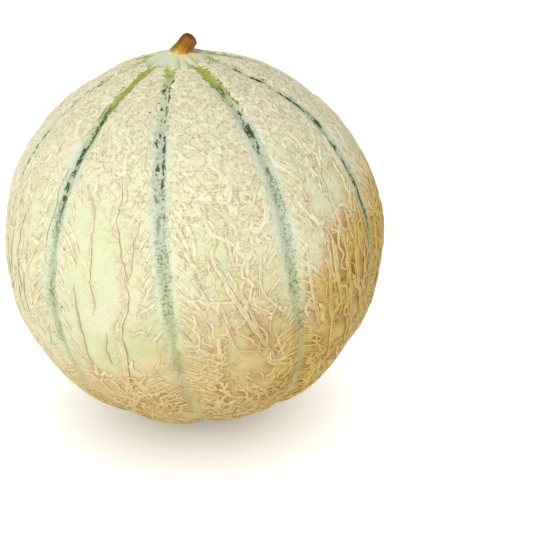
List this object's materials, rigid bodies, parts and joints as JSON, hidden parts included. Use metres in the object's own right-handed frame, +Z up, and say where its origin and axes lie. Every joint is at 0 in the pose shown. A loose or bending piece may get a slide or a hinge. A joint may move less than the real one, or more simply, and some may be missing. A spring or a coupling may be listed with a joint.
{
  "type": "cantaloupe melon",
  "caption": "Whole round netted melon with shallow green sutures between its lobes and a short dried stem stub, resting on a small flat spot.",
  "frame": {"origin": "centre of the flat spot that the melon rests on, on the surface it rests on", "axes": "+Z up from the surface; the growth axis from blossom end to stem leans 4 degrees from +Z towards -X; -Y is the side with the longest splits in the net"},
  "size_m": [0.1497, 0.1491, 0.1569],
  "materials": {
    "rind": "satin",
    "stem": "matte"
  },
  "bodies": {
    "root": {"fruit": "rind", "stem": "stem"}
  },
  "joints": []
}
